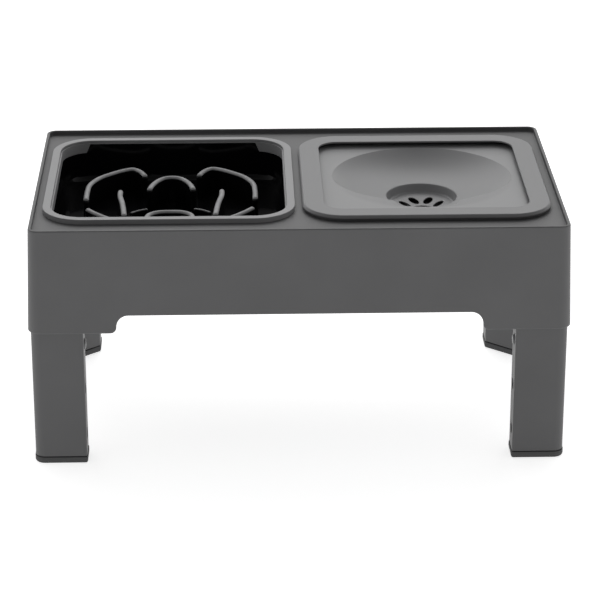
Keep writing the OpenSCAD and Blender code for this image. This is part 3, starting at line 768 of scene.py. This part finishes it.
def dish_column(turn, drop):
    """One line from the sump's floor to the plate. The near rim swells into a drinking lip."""
    near = max(0.0, -math.sin(turn))
    middle = min(1.0, max(0.0, (0.42 - abs(math.cos(turn))) / 0.14)) if near else 0.0
    lip = min(1.0, (near / 0.8) ** 1.2) * (1 - 0.8 * middle * middle * (3 - 2 * middle))
    wide = lip_reach * lip
    start = sump_radius + 3 * mm
    line = soften([(sump_radius - 5 * mm, sump_floor), (sump_radius - 3 * mm, sump_floor),
                   (sump_radius - 0.8 * mm, sump_edge), (start, dish_level(start))],
                  [0, 1.5 * mm, 0.9 * mm, 0], 5)
    inner = dish_radius - 0.4 * mm - wide - 0.09 * wide
    line += [(r, dish_level(r)) for r in [start + (inner - start) * k / 12 for k in range(1, 13)]]
    edge_r, edge_z = dish_radius - wide, disc_top + lip_rise * lip
    rim = soften([(inner, dish_level(inner)), (edge_r, edge_z), (dish_radius, disc_top),
                  (dish_radius + 3.5 * mm, disc_top)],
                 [0, 0.45 * mm, 0.4 * mm + 0.25 * wide, 0], rim_steps)
    line += rim[1:]
    return [(disc_x + r * math.cos(turn), disc_y + r * math.sin(turn),
             z - (min(drop, thin_floor) if z < sump_floor + 0.01 * mm else drop)) for r, z in line]


def dish_rows(drop):
    lines = [dish_column(2 * math.pi * (k + 0.5) / disc_count, drop) for k in range(disc_count)]
    return [list(row) for row in zip(*lines)]


disc_bm = bmesh.new()
upper = add_rows(disc_bm, dish_rows(0))
lower = add_rows(disc_bm, dish_rows(disc_shell))
edge_deep = 8 * mm
edge_line = soften(
    [(disc_half - 3 * mm, disc_top), (disc_half, disc_top), (disc_half, disc_top - edge_deep),
     (disc_half - disc_shell, disc_top - edge_deep), (disc_half - disc_shell, disc_top - disc_shell),
     (disc_half - 5 * mm, disc_top - disc_shell)],
    [0, 1.4 * mm, 0.5 * mm, 0.5 * mm, 0.5 * mm, 0], 4)
edge = add_rows(disc_bm, [
    square_loop(h, disc_corner + h - disc_half, z, disc_x, disc_y, disc_count) for h, z in edge_line])
for inside, outside in ((upper[-1], edge[0]), (lower[-1], edge[-1])):
    for k in range(disc_count):
        j = (k + 1) % disc_count
        disc_bm.faces.new((inside[k], inside[j], outside[j], outside[k]))
# Four toes and a pad: place from the dish's middle, turn, width and length.
toes = [(-14, -1.5, 30, 5.5, 16.5), (-6, 6.5, 18, 7, 17), (6, 6.5, -18, 7, 17),
        (14, -1.5, -30, 5.5, 16.5), (0, -12, 0, 18, 13)]
hole_tops, hole_bottoms = [], []
for x, y, turn, wide, long in toes:
    a = math.radians(turn)
    outline = []
    for k in range(40):
        u, v = wide / 2 * math.cos(math.pi * k / 20), long / 2 * math.sin(math.pi * k / 20)
        outline.append((x + u * math.cos(a) - v * math.sin(a), y + u * math.sin(a) + v * math.cos(a)))
    rows = []
    for level, grow in ((sump_floor, 1.03), (sump_floor - 0.2 * mm, 1),
                        (sump_floor - thin_floor + 0.1 * mm, 1), (sump_floor - thin_floor, 1.02)):
        rows.append([(disc_x + (x + (p[0] - x) * grow) * mm, disc_y + (y + (p[1] - y) * grow) * mm, level)
                     for p in outline])
    made = add_rows(disc_bm, rows)
    hole_tops.append(made[0])
    hole_bottoms.append(made[-1])
fill_between(disc_bm, upper[0], *hole_tops)
fill_between(disc_bm, lower[0], *hole_bottoms)
foot_top, foot_low = sump_floor - 0.4 * mm, disc_low.z
foot_place, foot_radius = 24 * mm, 3 * mm
for k in range(4):
    a = math.radians(45 + 90 * k)
    fx, fy = disc_x + foot_place * math.cos(a), disc_y + foot_place * math.sin(a)
    rows = [[(fx + r * math.cos(math.pi * j / 12), fy + r * math.sin(math.pi * j / 12), z)
             for j in range(24)]
            for r, z in ((foot_radius, foot_top), (foot_radius, foot_low + 0.6 * mm),
                         (2.6 * mm, foot_low + 0.15 * mm), (2.1 * mm, foot_low))]
    foot = add_rows(disc_bm, rows)
    disc_bm.faces.new(foot[0])
    disc_bm.faces.new(foot[-1])
disc_grey = moulded("moulded_disc_grey", (0.25, 0.25, 0.255), 0.4, 0.15, 0.03)
finish_piece(disc_bm, "floating_disc_shell", disc_grey, "floating_disc",
             ["floating_disc"], sharp=50)


# ---------------------------------------------------------------- outer legs
# Each outer leg is a five-sided hollow moulding in the tray's grey, with a rounded hinge
# head and three holes for the snap button. It turns inwards about its pin to fold.
leg_grey = moulded("moulded_leg_grey", (0.086, 0.086, 0.088), 0.5, 0.25)


def broken_edges(node_name, piece_name, finish, body, width):
    """The moulding as designed, with its sharp edges broken as a tool leaves them.

    It rides on body, or on no body when none is given.
    """
    bm = bmesh.new()
    bm.from_mesh(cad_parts[node_name].data)
    bmesh.ops.remove_doubles(bm, verts=bm.verts, dist=2e-6)
    bmesh.ops.dissolve_limit(bm, angle_limit=math.radians(1), verts=bm.verts, edges=bm.edges)
    mesh = bpy.data.meshes.new(piece_name)
    bm.to_mesh(mesh)
    bm.free()
    mesh.materials.clear()
    mesh.materials.append(finish)
    mesh.shade_smooth()
    piece = bpy.data.objects.new(piece_name, mesh)
    scene.collection.objects.link(piece)
    rounding = piece.modifiers.new("broken_edges", "BEVEL")
    rounding.width, rounding.segments = width, 2
    rounding.limit_method, rounding.angle_limit = "ANGLE", math.radians(38)
    rounding.harden_normals = True
    made = evaluated_copy(piece, piece_name)
    made.data.set_sharp_from_angle(angle=math.radians(50))
    even = made.modifiers.new("even_normals", "WEIGHTED_NORMAL")
    even.keep_sharp = True
    if body:
        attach(made, body)
    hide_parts(node_name)
    return made


corners = ("front_left", "front_right", "back_left", "back_right")
for corner in corners:
    broken_edges(corner + "_outer_leg", corner + "_leg_tube", leg_grey, corner + "_outer_leg",
                 0.4 * mm)


# ---------------------------------------------------------------- inner legs
# The inner legs are thinner hollow mouldings that slide down out of the outer legs and
# carry the snap buttons and the foot caps.
for corner in corners:
    broken_edges(corner + "_inner_leg", corner + "_inner_tube", leg_grey, corner + "_inner_leg",
                 0.3 * mm)


# ---------------------------------------------------------------- foot caps
# Each foot cap is a soft rubber-like sole, pushed into the end of the inner leg by a plug
# and standing slightly proud of the leg all round.
cap_grey = moulded("rubber_sole_grey", (0.052, 0.052, 0.053), 0.7, 0.4)
for corner in corners:
    broken_edges(corner + "_foot_cap", corner + "_foot_sole", cap_grey, corner + "_inner_leg",
                 0.4 * mm)


# ---------------------------------------------------------------- snap buttons
# A snap button is one piece: a round nose on a bent spring leaf. The nose stands out
# through the inner leg and one of the outer leg's holes. When it is pressed the leaf
# bends, and its far end stays against the inner leg.
button_grey = moulded("moulded_button_grey", (0.13, 0.13, 0.133), 0.4, 0.1)
for corner in corners:
    clip = broken_edges(corner + "_snap_button", corner + "_button_clip", button_grey, None,
                        0.3 * mm)
    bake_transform(clip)


# ---------------------------------------------------------------- hinge pins
# Each leg turns on a headed steel pin, pushed through the tray's lug and the leg's head
# into a round seat inside the skirt.
pin_steel = moulded("turned_steel", (0.55, 0.55, 0.55), 0.3, 0.1, 0.05)
pin_steel.node_tree.nodes["Principled BSDF"].inputs["Metallic"].default_value = 1.0
for corner in corners:
    broken_edges(corner + "_hinge_pin", corner + "_turned_pin", pin_steel, "tray", 0.3 * mm)
